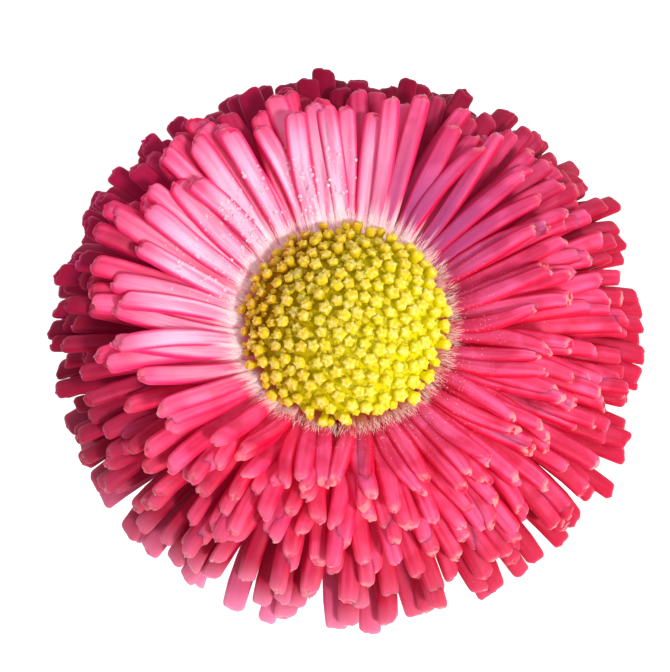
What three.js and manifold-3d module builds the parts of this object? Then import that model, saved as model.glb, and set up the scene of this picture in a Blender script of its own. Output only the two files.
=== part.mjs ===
// Potted English daisy (Bellis perennis, a double bedding strain with quilled petals): one open flower head
// on its scape, two buds, a rosette of leaves, potting soil and a plain clay pot.
// Millimetres, +Z up. The origin is the middle of the pot's foot, on the surface that the pot stands on.

import * as THREE from 'three';
import { mergeVertices } from 'three/addons/utils/BufferGeometryUtils.js';
import Module from 'manifold-3d';

const wasm = await Module();
wasm.setup();

// The clay pot and its soil.
const POT_HEIGHT = 70;
const POT_RIM_RADIUS = 39;
const POT_FOOT_RADIUS = 26;
const POT_WALL = 3.2;
const POT_FLOOR = 4;
const POT_COLLAR_HEIGHT = 15;
const POT_COLLAR_STEP = 1.8;
const POT_DRAIN_RADIUS = 4.5;
const POT_EDGE = 1.4;
const POT_SIDES = 32;
const SOIL_LEVEL = 62;
const SOIL_CROWN = 1.6;
const SOIL_SIDES = 24;
const GAP = 0.3;

// The plant's stems stand in plain holes in the soil on one golden-angle spiral, the scape in the middle.
const GOLDEN_ANGLE = THREE.MathUtils.degToRad(137.50776);
const STEM_SPACING = 2.5;
const STEM_DEPTH = 7;
const STEM_HOLE_RADIUS = 1.85;
const SCAPE_HOLE_RADIUS = 1.8;
const HOLE_SIDES = 6;

// The flower head. Its own frame has +Z along the flower's axis and z = 0 at the rim of the yellow disc.
const HEAD_HEIGHT = 172;
const HEAD_TILT = THREE.MathUtils.degToRad(18);
const HEAD_TILT_TOWARDS = THREE.MathUtils.degToRad(100);
const SCAPE_RADIUS = 1.2;
const DISC_RADIUS = 7;
const DISC_RISE = 3.9;
const DISC_BASE = -0.5;
const DISC_FLORETS = 74;
const FLORET_RADIUS = 0.7;
const FLORET_STAND = 0.7;
const BRACTS = 13;
const BRACT_LENGTH = 7.4;

// The rays run from the innermost, short and steep, to the outermost, long and drooping. Rises in degrees.
const RAYS = 225;
const RAY_ROOT = 1.7;
const RAY_LENGTH = [10.1, 15.7];
const RAY_BASE_RADIUS = [7.45, 6.3];
const RAY_BASE_HEIGHT = [-1.4, -4.9];
const RAY_RISE_AT_BASE = [60, 2];
const RAY_RISE_AT_TIP = [46, -26];
const RAY_HALF_WIDTH = 0.96;
const RAY_HALF_THICKNESS = 0.35;

// The rosette, from its innermost leaf to its outermost.
const LEAVES = 16;
const LEAF_LENGTH = [25, 33];
const LEAF_RISE_AT_ROOT = 86;
const LEAF_RISE_AT_TIP = [46, -10];
const LEAF_HALF_WIDTH = [6.2, 8.8];
const LEAF_THICKNESS = 0.7;
const LEAF_FOLD = 0.13;
const LEAF_NOTCH = 0.86;
const BLADE_START = 0.3;
const PETIOLE_HALF_WIDTH = 0.95;
const PETIOLE_THICKNESS = 1.2;

// The buds stand at two places of the stems' spiral, and their stalks lean outwards.
const BUD_PLACES = [4, 8];
const BUD_HEIGHTS = [104, 94];
const BUD_LEAN = 7;
const BUD_STALK_RADIUS = 0.9;
const BUD_BRACTS = 8;
const BUD_RAYS = 10;

const radians = THREE.MathUtils.degToRad;
const mix = (range, t) => range[0] + (range[1] - range[0]) * t;

// A repeatable draw from -0.5 to 0.5 for a numbered piece, one channel for each thing that varies.
function jitter(index, channel) {
  const wave = Math.sin(index * 12.9898 + channel * 78.233) * 43758.5453;
  return wave - Math.floor(wave) - 0.5;
}

// A closed mesh through a row of sections with the same number of corners, its ends closed by fans.
// A side whose number is in turned has its quads split along the other diagonal.
function loft(sections, turned = []) {
  const corners = sections[0].length;
  const position = sections.flat().flatMap((p) => [p.x, p.y, p.z]);
  const index = [];
  for (let k = 0; k + 1 < sections.length; k++) {
    for (let j = 0; j < corners; j++) {
      const a = k * corners + j;
      const b = k * corners + (j + 1) % corners;
      const c = a + corners;
      const d = b + corners;
      if (turned.includes(j)) index.push(a, b, c, b, d, c);
      else index.push(a, b, d, a, d, c);
    }
  }
  const last = (sections.length - 1) * corners;
  for (let j = 1; j + 1 < corners; j++) {
    index.push(0, j + 1, j);
    index.push(last, last + j, last + j + 1);
  }
  const geometry = new THREE.BufferGeometry();
  geometry.setAttribute('position', new THREE.Float32BufferAttribute(position, 3));
  geometry.setIndex(index);
  return geometry;
}

// A profile of [radius, height] pairs turned round +Z.
function turned(profile, sides) {
  const points = profile.map(([r, z]) => new THREE.Vector2(r, z));
  return new THREE.LatheGeometry(points, sides).rotateX(Math.PI / 2);
}

// A round stem along a curve.
function stem(points, radius, sides, steps) {
  const shape = new THREE.Shape();
  for (let j = 0; j < sides; j++) {
    const a = (2 * Math.PI * j) / sides;
    if (j === 0) shape.moveTo(radius, 0);
    else shape.lineTo(radius * Math.cos(a), radius * Math.sin(a));
  }
  shape.closePath();
  const extrudePath = new THREE.CatmullRomCurve3(points);
  return new THREE.ExtrudeGeometry(shape, { steps, bevelEnabled: false, extrudePath });
}

function solid(geometry) {
  const bare = geometry.clone();
  bare.deleteAttribute('normal');
  bare.deleteAttribute('uv');
  const merged = mergeVertices(bare, 1e-4);
  return new wasm.Manifold(new wasm.Mesh({
    numProp: 3,
    vertProperties: merged.attributes.position.array,
    triVerts: new Uint32Array(merged.index.array),
  }));
}

function geometryOf(manifold) {
  const mesh = manifold.getMesh();
  const geometry = new THREE.BufferGeometry();
  geometry.setAttribute('position', new THREE.BufferAttribute(mesh.vertProperties, 3));
  geometry.setIndex(new THREE.BufferAttribute(mesh.triVerts, 1));
  return geometry;
}

function joined(geometries) {
  return geometryOf(geometries.map(solid).reduce((whole, next) => whole.add(next)));
}

function pieceOf(name, geometry, colour, roughness) {
  geometry.computeVertexNormals();
  const material = new THREE.MeshStandardMaterial({ color: colour, roughness, metalness: 0 });
  const mesh = new THREE.Mesh(geometry, material);
  mesh.name = name;
  return mesh;
}

// A point and its directions on a flat arc that starts at (r, z), rises by rise0 and ends rising by rise1.
// At s beyond either end the arc runs on.
function onArc({ azimuth, start, rise0, rise1, length }, s) {
  const bend = (rise1 - rise0) / length;
  const rise = rise0 + bend * s;
  const r = start[0] + (Math.sin(rise) - Math.sin(rise0)) / bend;
  const z = start[1] - (Math.cos(rise) - Math.cos(rise0)) / bend;
  const out = new THREE.Vector3(Math.cos(azimuth), Math.sin(azimuth), 0);
  const up = new THREE.Vector3(0, 0, 1);
  return {
    centre: out.clone().multiplyScalar(r).addScaledVector(up, z),
    side: new THREE.Vector3(-Math.sin(azimuth), Math.cos(azimuth), 0),
    face: out.clone().multiplyScalar(-Math.sin(rise)).addScaledVector(up, Math.cos(rise)),
  };
}

// A flat strip of four-cornered sections on an arc. Each station is [s, half width, half thickness].
function strip(arc, stations) {
  return loft(stations.map(([s, halfWidth, halfThickness]) => {
    const { centre, side, face } = onArc(arc, s);
    return [[-1, -1], [1, -1], [1, 1], [-1, 1]].map(([x, y]) => centre.clone()
      .addScaledVector(side, x * halfWidth)
      .addScaledVector(face, y * halfThickness));
  }));
}

// Ray number i, from the innermost, sunk into the ring that all the rays grow from.
// It widens to near its end and has a blunt tip.
function ray(i) {
  const t = i / (RAYS - 1);
  const wobble = jitter(i, 1);
  const arc = {
    azimuth: i * GOLDEN_ANGLE + radians(3 * jitter(i, 3)),
    start: [mix(RAY_BASE_RADIUS, t), mix(RAY_BASE_HEIGHT, t)],
    rise0: radians(mix(RAY_RISE_AT_BASE, t ** 0.85) + 2 * wobble),
    rise1: radians(mix(RAY_RISE_AT_TIP, t ** 0.9) + 9 * wobble),
    length: mix(RAY_LENGTH, t ** 0.85) * (1 + 0.12 * jitter(i, 2)),
  };
  const wide = RAY_HALF_WIDTH * (1 + 0.16 * jitter(i, 4));
  return strip(arc, [
    [-RAY_ROOT, 0.5 * wide, 0.9 * RAY_HALF_THICKNESS],
    [0.74 * arc.length, wide, RAY_HALF_THICKNESS],
    [arc.length, 0.62 * wide, 0.9 * RAY_HALF_THICKNESS],
  ]);
}

// The rays round the low ring in which their crowded feet merge.
function rayFlorets() {
  const ring = turned([
    [4, -5.6], [10.4, -5.4], [11.2, -2], [9, 0.9], [6.8, -1.7], [4, -1.7], [4, -5.6],
  ], 24);
  const rays = Array.from({ length: RAYS }, (_, i) => ray(i));
  return joined([ring, ...rays]);
}

const DOME_SPHERE = (DISC_RADIUS ** 2 + DISC_RISE ** 2) / (2 * DISC_RISE);

// The dome's height over its rim at radius r, a spherical cap.
function domeHeight(r) {
  return Math.sqrt(DOME_SPHERE ** 2 - r ** 2) - (DOME_SPHERE - DISC_RISE);
}

// Disc floret number i: a five-sided knob standing square to the dome, on the golden-angle spiral.
function discFloret(i) {
  const r = (DISC_RADIUS - 0.25) * Math.sqrt((i + 0.5) / DISC_FLORETS);
  const azimuth = i * GOLDEN_ANGLE;
  const stand = FLORET_STAND * (1 + 0.3 * jitter(i, 7));
  const knob = turned([
    [0, -0.8], [0.8 * FLORET_RADIUS, -0.8], [FLORET_RADIUS, 0.7 * stand], [0, stand],
  ], 5);
  knob.rotateY(Math.asin(r / DOME_SPHERE)).rotateZ(azimuth);
  return knob.translate(r * Math.cos(azimuth), r * Math.sin(azimuth), domeHeight(r));
}

function discFlorets() {
  const rings = [DISC_RADIUS, 5.2, 2.8].map((r) => [r, domeHeight(r)]);
  const dome = turned([[0, DISC_BASE], [DISC_RADIUS, DISC_BASE], ...rings, [0, DISC_RISE]], 18);
  const florets = Array.from({ length: DISC_FLORETS }, (_, i) => discFloret(i));
  return joined([dome, ...florets]);
}

// The green cup under the head, with the peg that carries the disc, and the bracts round it.
function receptacle() {
  const cup = turned([
    [0, -12], [SCAPE_RADIUS, -12], [1.9, -10], [4.4, -8.4], [5.6, -6.9], [5.7, -5.9],
    [3.7, -5.9], [3.7, DISC_BASE - GAP], [0, DISC_BASE - GAP],
  ], 16);
  const bracts = Array.from({ length: BRACTS }, (_, i) => strip({
    azimuth: (2 * Math.PI * i) / BRACTS,
    start: [4.6, -7.2],
    rise0: radians(4 + 8 * jitter(i, 11)),
    rise1: radians(-30 + 12 * jitter(i, 12)),
    length: BRACT_LENGTH,
  }, [[-1, 1, 0.35], [0.55 * BRACT_LENGTH, 1.4, 0.35], [BRACT_LENGTH, 0.4, 0.3]]));
  return [cup, ...bracts];
}

// The place and lean of the head in the part's frame.
function headMatrix() {
  const axis = new THREE.Vector3(
    Math.sin(HEAD_TILT) * Math.cos(HEAD_TILT_TOWARDS),
    Math.sin(HEAD_TILT) * Math.sin(HEAD_TILT_TOWARDS),
    Math.cos(HEAD_TILT),
  );
  const turn = new THREE.Quaternion().setFromUnitVectors(new THREE.Vector3(0, 0, 1), axis);
  return new THREE.Matrix4().compose(new THREE.Vector3(0, 0, HEAD_HEIGHT), turn, new THREE.Vector3(1, 1, 1));
}

// The scape rises from the soil with a slight bow and meets the head along the head's own axis.
function flowerStalk() {
  const place = headMatrix();
  const onAxis = (z) => new THREE.Vector3(0, 0, z).applyMatrix4(place);
  const scape = stem([
    new THREE.Vector3(0, 0, SOIL_LEVEL - STEM_DEPTH),
    new THREE.Vector3(0, 0, SOIL_LEVEL + 6),
    new THREE.Vector3(1.6, -4.6, 110),
    onAxis(-24),
    onAxis(-11.4),
  ], SCAPE_RADIUS, 8, 13);
  return joined([scape, ...receptacle().map((g) => g.applyMatrix4(place))]);
}

// The foot of stem number k, on the soil's spiral.
function stemFoot(k) {
  const r = STEM_SPACING * Math.sqrt(k);
  const azimuth = k * GOLDEN_ANGLE;
  return { azimuth, x: r * Math.cos(azimuth), y: r * Math.sin(azimuth) };
}

// Leaf number j: a petiole that rises from the soil and a spoon-shaped blade with rounded teeth.
// Its stations follow the teeth, one at each crest and one at each notch between them.
function leaf(j, foot) {
  const t = (j + 0.5 * (1 + jitter(j, 21))) / LEAVES;
  const length = mix(LEAF_LENGTH, t) * (1 + 0.1 * jitter(j, 22));
  const riseTip = radians(mix(LEAF_RISE_AT_TIP, t ** 0.8));
  const riseRoot = radians(LEAF_RISE_AT_ROOT);
  const halfWidth = mix(LEAF_HALF_WIDTH, t);
  const azimuth = foot.azimuth + radians(10 * jitter(j, 23));
  const twist = radians(16 * jitter(j, 24));
  const along = new THREE.Vector3(Math.cos(azimuth), Math.sin(azimuth), 0);
  const across = new THREE.Vector3(-Math.sin(azimuth), Math.cos(azimuth), 0);
  const up = new THREE.Vector3(0, 0, 1);

  const steps = 60;
  const line = [new THREE.Vector3(foot.x, foot.y, SOIL_LEVEL)];
  const rises = [riseRoot];
  for (let n = 1; n <= steps; n++) {
    const rise = riseTip + (riseRoot - riseTip) * (1 - n / steps) ** 2;
    line.push(line[n - 1].clone()
      .addScaledVector(along, (Math.cos(rise) * length) / steps)
      .addScaledVector(up, (Math.sin(rise) * length) / steps));
    rises.push(rise);
  }

  const section = (centre, rise, half, thickness, turn) => {
    const fold = LEAF_FOLD * (half - PETIOLE_HALF_WIDTH);
    const face = along.clone().multiplyScalar(-Math.sin(rise)).addScaledVector(up, Math.cos(rise));
    const side = across.clone().multiplyScalar(Math.cos(turn)).addScaledVector(face, Math.sin(turn));
    const corner = (x, y) => centre.clone()
      .addScaledVector(side, x * half)
      .addScaledVector(face, (y * thickness) / 2 + Math.abs(x) * fold);
    return [corner(-1, -1), corner(0, -1), corner(1, -1), corner(1, 1), corner(0, 1), corner(-1, 1)];
  };

  const root = new THREE.Vector3(foot.x, foot.y, SOIL_LEVEL - STEM_DEPTH + 1);
  const sections = [section(root, Math.PI / 2, PETIOLE_HALF_WIDTH, PETIOLE_THICKNESS, 0)];
  const stations = [0.03, 0.2, 0.36, 0.48, 0.56, 0.61, 0.68, 0.73, 0.8, 0.85, 0.93, 1];
  stations.forEach((s, n) => {
    const at = Math.round(s * steps);
    const blade = Math.max(0, (s - BLADE_START) / (1 - BLADE_START));
    const outline = Math.sin(Math.PI * Math.min(0.985, blade) ** 1.4) ** 0.62;
    const notch = s > 0.6 && n % 2 === 1 ? LEAF_NOTCH : 1;
    const half = Math.max(PETIOLE_HALF_WIDTH, halfWidth * outline * notch);
    const thickness = mix([PETIOLE_THICKNESS, LEAF_THICKNESS], Math.min(1, 2 * s));
    sections.push(section(line[at], rises[at], half, thickness, twist * blade));
  });
  return loft(sections, [3, 4]);
}

// A ring of corners with ribs: every second corner stands out by the share rib and up by point.
function ribbedRing(ribs, radius, z, rib, point) {
  return Array.from({ length: 2 * ribs }, (_, n) => {
    const crest = n % 2 ? 1 : -1;
    const a = (Math.PI * n) / ribs;
    const r = radius * (1 + rib * crest);
    return new THREE.Vector3(r * Math.cos(a), r * Math.sin(a), z + point * crest);
  });
}

// A bud's green part: its stalk and a cup of closed bracts, whose ribs end in points round the open top.
function budGreen(foot, height) {
  const leaning = (lean, z) => new THREE.Vector3(
    foot.x + lean * Math.cos(foot.azimuth),
    foot.y + lean * Math.sin(foot.azimuth),
    z,
  );
  const top = leaning(BUD_LEAN, height);
  const stalk = stem([
    leaning(0, SOIL_LEVEL - STEM_DEPTH),
    leaning(0.2, SOIL_LEVEL + 4),
    leaning(0.7 * BUD_LEAN, height - 16),
    top,
  ], BUD_STALK_RADIUS, 6, 7);
  const cup = loft([
    ribbedRing(BUD_BRACTS, 1, -0.6, 0, 0),
    ribbedRing(BUD_BRACTS, 2.9, 1.2, 0.07, 0),
    ribbedRing(BUD_BRACTS, 3.1, 3, 0.08, 0),
    ribbedRing(BUD_BRACTS, 2.85, 5.1, 0.03, 0.7),
    ribbedRing(BUD_BRACTS, 2.2, 4.9, 0, 0.6),
    ribbedRing(BUD_BRACTS, 1.9, 2, 0, 0),
  ]).translate(top.x, top.y, top.z);
  return { geometry: joined([stalk, cup]), top };
}

// A bud's pink part: the closed rays as one ribbed tuft that stands in the cup.
function budRays(top) {
  return loft([
    ribbedRing(BUD_RAYS, 1.5, 2.3, 0.06, 0),
    ribbedRing(BUD_RAYS, 1.55, 4.4, 0.06, 0),
    ribbedRing(BUD_RAYS, 1.75, 6.2, 0.12, 0.15),
    ribbedRing(BUD_RAYS, 1.45, 7.6, 0.16, 0.5),
    ribbedRing(BUD_RAYS, 0.5, 7.3, 0.1, 0.2),
  ]).translate(top.x, top.y, top.z);
}

// Inside radii of the pot, at its floor and just under its rim.
const POT_INNER_FOOT = POT_FOOT_RADIUS - POT_WALL;
const POT_INNER_TOP = POT_RIM_RADIUS - POT_WALL - POT_COLLAR_STEP;

function pot() {
  const collarFoot = POT_HEIGHT - POT_COLLAR_HEIGHT;
  const underCollar = POT_RIM_RADIUS - POT_COLLAR_STEP - 1.6;
  return turned([
    [POT_DRAIN_RADIUS, 0], [POT_FOOT_RADIUS - 1, 0], [POT_FOOT_RADIUS, 1],
    [underCollar, collarFoot], [POT_RIM_RADIUS - 1, collarFoot + 0.8],
    [POT_RIM_RADIUS, POT_HEIGHT - POT_EDGE], [POT_RIM_RADIUS - 1.2, POT_HEIGHT],
    [POT_INNER_TOP + 1, POT_HEIGHT], [POT_INNER_TOP, POT_HEIGHT - POT_EDGE],
    [POT_INNER_FOOT, POT_FLOOR], [POT_DRAIN_RADIUS, POT_FLOOR], [POT_DRAIN_RADIUS, 0],
  ], POT_SIDES);
}

function soilHeight(r) {
  return SOIL_LEVEL + SOIL_CROWN * (1 - (r / POT_INNER_TOP) ** 2);
}

// The soil fills the pot to a low crown and has a plain hole for each stem.
function soil(holes) {
  const taper = (POT_INNER_TOP - POT_INNER_FOOT) / (POT_HEIGHT - POT_EDGE - POT_FLOOR);
  const edgeAt = (z) => POT_INNER_FOOT + taper * (z - POT_FLOOR) - 2 * GAP;
  const bottom = POT_FLOOR + GAP;
  const crown = [edgeAt(SOIL_LEVEL), 22, 12].map((r) => [r, soilHeight(r)]);
  const bulk = turned([[0, bottom], [edgeAt(bottom), bottom], ...crown, [0, soilHeight(0)]], SOIL_SIDES);
  return geometryOf(holes.reduce((left, { x, y, radius }) => {
    const hole = new THREE.CylinderGeometry(radius, radius, 30, HOLE_SIDES).rotateX(Math.PI / 2);
    hole.translate(x, y, SOIL_LEVEL - STEM_DEPTH - GAP + 15);
    return left.subtract(solid(hole));
  }, solid(bulk)));
}

const daisy = new THREE.Group();
const place = headMatrix();
daisy.add(pieceOf('pot', pot(), '#b5643c', 0.9));
daisy.add(pieceOf('flower_stalk', flowerStalk(), '#7fa53e', 0.6));
daisy.add(pieceOf('ray_florets', rayFlorets().applyMatrix4(place), '#e0315f', 0.45));
daisy.add(pieceOf('disc_florets', discFlorets().applyMatrix4(place), '#dcc52a', 0.55));

const holes = [{ x: 0, y: 0, radius: SCAPE_HOLE_RADIUS }];
let leafNumber = 0;
for (let k = 1; k <= LEAVES + BUD_PLACES.length; k++) {
  const foot = stemFoot(k);
  holes.push({ x: foot.x, y: foot.y, radius: STEM_HOLE_RADIUS });
  if (BUD_PLACES.includes(k)) {
    const number = BUD_PLACES.indexOf(k);
    const bud = budGreen(foot, BUD_HEIGHTS[number]);
    daisy.add(pieceOf(`bud_${number + 1}_stalk`, bud.geometry, '#7fa53e', 0.6));
    daisy.add(pieceOf(`bud_${number + 1}_rays`, budRays(bud.top), '#d42a5a', 0.45));
  } else {
    const name = `leaf_${String(leafNumber + 1).padStart(2, '0')}`;
    daisy.add(pieceOf(name, leaf(leafNumber, foot), '#4f7f2c', 0.5));
    leafNumber += 1;
  }
}
daisy.add(pieceOf('soil', soil(holes), '#3a2a1e', 1));

export default daisy;
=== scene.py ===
import math
from functools import partial, reduce

import bpy
import numpy as np
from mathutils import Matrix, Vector


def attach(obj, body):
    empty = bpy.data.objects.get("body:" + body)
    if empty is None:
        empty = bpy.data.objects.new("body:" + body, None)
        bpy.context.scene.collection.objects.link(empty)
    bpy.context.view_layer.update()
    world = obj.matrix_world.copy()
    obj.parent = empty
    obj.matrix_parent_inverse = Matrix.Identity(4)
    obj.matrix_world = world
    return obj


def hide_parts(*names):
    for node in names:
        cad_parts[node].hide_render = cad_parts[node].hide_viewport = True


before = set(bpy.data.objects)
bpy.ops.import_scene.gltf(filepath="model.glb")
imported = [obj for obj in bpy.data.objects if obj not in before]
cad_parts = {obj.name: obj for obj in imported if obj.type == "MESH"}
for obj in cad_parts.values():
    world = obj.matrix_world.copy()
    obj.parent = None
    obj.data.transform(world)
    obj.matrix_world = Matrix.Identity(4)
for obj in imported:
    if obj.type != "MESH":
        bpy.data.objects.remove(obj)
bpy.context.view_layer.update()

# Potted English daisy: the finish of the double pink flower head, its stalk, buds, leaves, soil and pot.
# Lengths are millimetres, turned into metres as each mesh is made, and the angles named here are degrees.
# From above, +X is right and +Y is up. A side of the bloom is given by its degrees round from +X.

MM = 0.001
UP = np.array((0.0, 0.0, 1.0))
GOLDEN_ANGLE = math.radians(137.50776)

# Shapes lie on grids of (copy, ring, corner), and this index lays out one value for each copy on them.
PER_COPY = (slice(None), None, None)

# The flower head, whose own frame has +Z along the flower's axis and z = 0 at the rim of the disc.
HEAD_HEIGHT = 172
HEAD_TILT = 18
HEAD_TILT_TOWARDS = 100
DISC_RADIUS = 7
DISC_RISE = 3.4
DOME_SPHERE = (DISC_RADIUS ** 2 + DISC_RISE ** 2) / (2 * DISC_RISE)
DISC_FLORETS = 200
FLORET_RADIUS = 0.41
FLORET_STAND = 0.9
FLORET_LOBES = 5
DOWN_HAIRS = 2400

# The rays, from the innermost to the outermost.
RAYS = 470
RAY_LENGTH = (9.7, 16.7)
RAY_BASE_RADIUS = (7.3, 6.3)
RAY_BASE_HEIGHT = (-0.2, -4.9)
RAY_RISE_AT_BASE = (52, 2)
RAY_RISE_AT_TIP = (46, -26)
RAY_HALF_WIDTH = (0.9, 1.02)
RAY_HALF_THICKNESS = (0.4, 0.44)
RAY_CORNERS = 12

# The bloom isn't even. Its rays are shorter and narrower low in the picture and at its top, and the inner
# ones are shorter towards SUNNY_SIDE. They lie more open by up to OPENING degrees towards OPEN_SIDE, and are
# painted palest towards PALE_SIDE, as if sunlit on their faces, with painted shade on the outer rays there.
SHORT_SIDE = -85
TOP_SIDE = 85
SUNNY_SIDE = -45
OPEN_SIDE = -15
OPENING = 33
PALE_SIDE = 140

# Narrower stretches of the bloom, each with its side and its spread: outer rays that are broad, rays that are
# narrow, inner rays that are short, rays with ends painted pale as if lit, inner rays with a painted mauve
# sheen of the sky and painted shade, and rays with dew.
BROAD = (PALE_SIDE, 50)
NARROW = (208, 50)
STUBBY = (248, 42)
LIT_END_SIDE = (243, 42)
SHEEN_AND_SHADE_SIDE = (50, 38)
DEW = (130, 46)
DEW_RAYS = 70
DEW_DROPS = 540

# Sides where the outer rays reach further or less far: the side, its spread, and the share of the length.
REACHES = (
    (28, 22, 0.13), (55, 24, 0.09), (110, 18, 0.025), (150, 20, 0.06),
    (241, 9, 0.035), (258, 9, 0.03), (315, 9, -0.04), (331, 10, 0.06), (346, 8, -0.03),
)

# The scape and the green cup of bracts under the head.
SCAPE_RADIUS = 1.2
SCAPE_RINGS = 110
SCAPE_HAIRS = 900
BRACTS = 13
BRACT_LENGTH = 7.4

# The stems' spiral in the soil, the leaves and the buds.
STEM_SPACING = 2.5
STEM_DEPTH = 7
LEAVES = 16
LEAF_LENGTH = (25, 33)
LEAF_RISE_AT_ROOT = 86
LEAF_RISE_AT_TIP = (46, -10)
LEAF_HALF_WIDTH = (6.2, 8.8)
LEAF_THICKNESS = 0.55
LEAF_FOLD = 0.13
LEAF_TEETH = 6
LEAF_STEPS = 90
LEAF_CORNERS = 17
LEAF_HAIRS = 70
BLADE_START = 0.3
PETIOLE_HALF_WIDTH = 0.95
PETIOLE_THICKNESS = 1.1
BUD_PLACES = (4, 8)
BUD_HEIGHTS = (104, 94)
BUD_LEAN = 7
BUD_STALK_RADIUS = 0.9
BUD_STALK_RINGS = 60
BUD_HAIRS = 300
BUD_RAYS = 24

# The clay pot and its soil.
POT_HEIGHT = 70
POT_RIM_RADIUS = 39
POT_FOOT_RADIUS = 26
POT_WALL = 3.2
POT_FLOOR = 4
POT_COLLAR_HEIGHT = 15
POT_COLLAR_STEP = 1.8
POT_DRAIN_RADIUS = 4.5
POT_INNER_FOOT = POT_FOOT_RADIUS - POT_WALL
POT_INNER_TOP = POT_RIM_RADIUS - POT_WALL - POT_COLLAR_STEP
POT_EDGE = 1.4
POT_EDGE_ROUNDING = 1.3
SOIL_LEVEL = 62
SOIL_CROWN = 1.6
SOIL_GAP = 0.2

# The photograph's camera looks straight down on the bloom.
CAMERA_PLACE = (-0.63, -0.91, 243)
CAMERA_LENS = 54.3
SUN_TOWARDS = -28
SUN_RISE = 56


def mix(ends, t):
    """The value a share t of the way from the first end to the second."""
    return ends[0] + (ends[1] - ends[0]) * t


def draw(index, channel):
    """A repeatable draw from 0 to 1 for a numbered piece, one channel for each thing that varies."""
    wave = np.sin(index * 12.9898 + channel * 78.233) * 43758.5453
    return wave - np.floor(wave)


def jitter(index, channel):
    """The same draw, from -0.5 to 0.5."""
    return draw(index, channel) - 0.5


def smooth(low, high, value):
    """0 below low, 1 above high, and a smooth step between."""
    t = np.clip((value - low) / (high - low), 0, 1)
    return t * t * (3 - 2 * t)


def turned_to(azimuth, side):
    """1 on a side of the bloom, 0 opposite, and half a cosine between."""
    return 0.5 + 0.5 * np.cos(azimuth - math.radians(side))


def lobe(azimuth, side, spread):
    """1 on a side of the bloom and falling off round it as a bell of a given spread."""
    off = np.angle(np.exp(1j * (azimuth - math.radians(side))))
    return np.exp(-(off / math.radians(spread)) ** 2)


def ring(corners):
    """The angles of corners set evenly round a circle."""
    return np.linspace(0, 2 * math.pi, corners, endpoint=False)


def per_ring(values):
    """One value a ring, laid out on a grid of (copy, ring, corner)."""
    return np.asarray(values, float)[None, :, None]


def unit(vectors):
    """Vectors made one long."""
    return vectors / np.linalg.norm(vectors, axis=-1, keepdims=True)


def combined(*pairs):
    """The sum of directions times amounts, given as pairs with an amount for each point."""
    return sum(direction * np.asarray(amount)[..., None] for direction, amount in pairs)


def compass(azimuth):
    """The level directions outwards at an azimuth, and to the left of that."""
    level = 0 * azimuth
    out = np.stack([np.cos(azimuth), np.sin(azimuth), level], -1)
    side = np.stack([-np.sin(azimuth), np.cos(azimuth), level], -1)
    return out, side


def heading(out, rise):
    """The direction that climbs outwards at a rise: out cos rise + up sin rise."""
    return combined((out, np.cos(rise)), (UP, np.sin(rise)))


def facing(out, rise):
    """The direction square to that, on its upper side: up cos rise - out sin rise."""
    return combined((UP, np.cos(rise)), (out, -np.sin(rise)))


def aimed(azimuth, rise):
    """The direction that climbs at a rise towards an azimuth, both in degrees."""
    return Vector(heading(compass(np.radians(azimuth))[0], np.radians(rise)))


def arc(rise0, rise1, length, s):
    """An arc whose rise goes evenly from rise0 to rise1: at s along it, its rise, and how far out and up.

    Those two are (sin rise - sin rise0) / bend and (cos rise0 - cos rise) / bend, and bend is the change of
    rise in a millimetre.
    """
    bend = (rise1 - rise0) / length
    rise = rise0 + bend * s
    return rise, (np.sin(rise) - np.sin(rise0)) / bend, (np.cos(rise0) - np.cos(rise)) / bend


def tube_faces(copies, rings, corners, ring_shaped):
    """Quads of copies of a closed tube, and the faces that close its ends unless it is ring shaped."""
    joins = rings if ring_shaped else rings - 1
    k, j = np.meshgrid(np.arange(joins), np.arange(corners), indexing="ij")
    beside = (j + 1) % corners
    above = (k + 1) % rings
    quads = np.stack([
        k * corners + j, k * corners + beside, above * corners + beside, above * corners + j,
    ], -1).reshape(1, -1, 4)
    start = np.arange(copies)[PER_COPY] * rings * corners
    faces = (quads + start).reshape(-1, 4).tolist()
    if not ring_shaped:
        around = np.arange(corners)
        ends = np.stack([around[::-1], (rings - 1) * corners + around])[None]
        faces += (ends + start).reshape(-1, corners).tolist()
    return faces


def add_tubes(name, points, values, material, replaced=(), ring_shaped=False):
    """Adds one object made of tubes. points has the shape (copies, rings, corners, 3), in millimetres.

    Corner j of a ring joins corner j + 1 and corner j of the next ring, and the corners run anticlockwise
    seen from the last ring. values are per-corner numbers that the material reads by name.
    """
    copies, rings, corners = points.shape[:3]
    mesh = bpy.data.meshes.new(name)
    flat = points.reshape(-1, 3) * MM
    mesh.from_pydata(flat.tolist(), [], tube_faces(copies, rings, corners, ring_shaped))
    for key, value in values.items():
        layer = mesh.attributes.new(key, "FLOAT", "POINT")
        spread = np.broadcast_to(value, points.shape[:3]).astype(np.float32)
        layer.data.foreach_set("value", spread.ravel())
    mesh.polygons.foreach_set("use_smooth", [True] * len(mesh.polygons))
    mesh.materials.append(material)
    mesh.update()
    piece = bpy.data.objects.new(name, mesh)
    bpy.context.scene.collection.objects.link(piece)
    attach(piece, "root")
    if replaced:
        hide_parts(*replaced)


def lathe(profile, corners, ribs=0):
    """Rings of points of a profile of (radius, height) turned round +Z, or of (radius, height, rib, point).

    Ribs make the radius R (1 + rib c) and the height z + point c, with c = 2 |cos(ribs a / 2)| - 1.
    """
    profile = np.asarray(profile, float)
    radius, height, rib, point = np.pad(profile, ((0, 0), (0, 4 - profile.shape[1]))).T[:, :, None]
    a = ring(corners)
    crest = 2 * np.abs(np.cos(ribs * a / 2)) - 1
    across = radius * (1 + rib * crest)
    return np.stack([across * np.cos(a), across * np.sin(a), height + point * crest], -1)[None]


def head_turn():
    """The matrix that turns rows of points from +Z to the flower's axis by the shortest way."""
    axis = aimed(HEAD_TILT_TOWARDS, 90 - HEAD_TILT)
    return np.array(Vector(UP).rotation_difference(axis).to_matrix()).T


def on_head(points):
    """Points of the head's own frame, placed in the part's frame."""
    return points @ head_turn() + HEAD_HEIGHT * UP


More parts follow.
